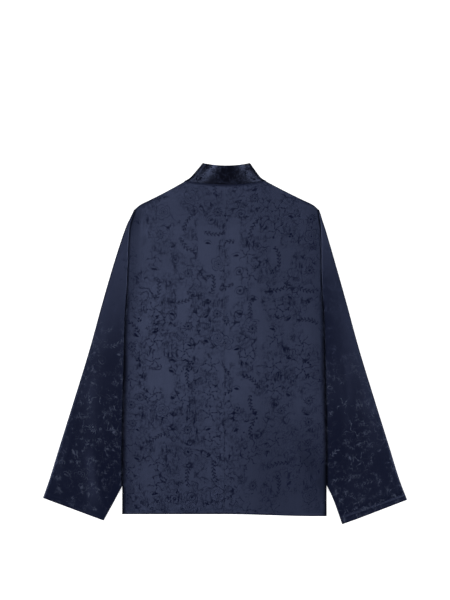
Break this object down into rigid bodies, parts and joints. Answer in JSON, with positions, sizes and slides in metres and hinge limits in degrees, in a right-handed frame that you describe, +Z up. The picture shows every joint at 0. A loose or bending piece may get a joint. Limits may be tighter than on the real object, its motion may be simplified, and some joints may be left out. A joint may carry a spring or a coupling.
{
  "type": "reversible jacket",
  "caption": "Hip-length satin jacket with a stand collar and long straight sleeves, laid flat with its back up.",
  "frame": {"origin": "under the middle of the outline, on the surface the jacket lies on", "axes": "+Z up from the surface, +Y towards the collar, +X towards the wearer's right sleeve"},
  "size_m": [0.7232, 0.7208, 0.0111],
  "materials": {
    "body_cloth": "navy satin with a tone-on-tone jacquard",
    "sleeve_cloth": "navy satin with a tone-on-tone jacquard",
    "collar_cloth": "navy satin with a tone-on-tone jacquard"
  },
  "bodies": {
    "root": {"back_left": "body_cloth", "back_right": "body_cloth", "front_left": "body_cloth", "front_right": "body_cloth", "sleeve_left": "sleeve_cloth", "sleeve_right": "sleeve_cloth", "collar": "collar_cloth"}
  },
  "joints": []
}
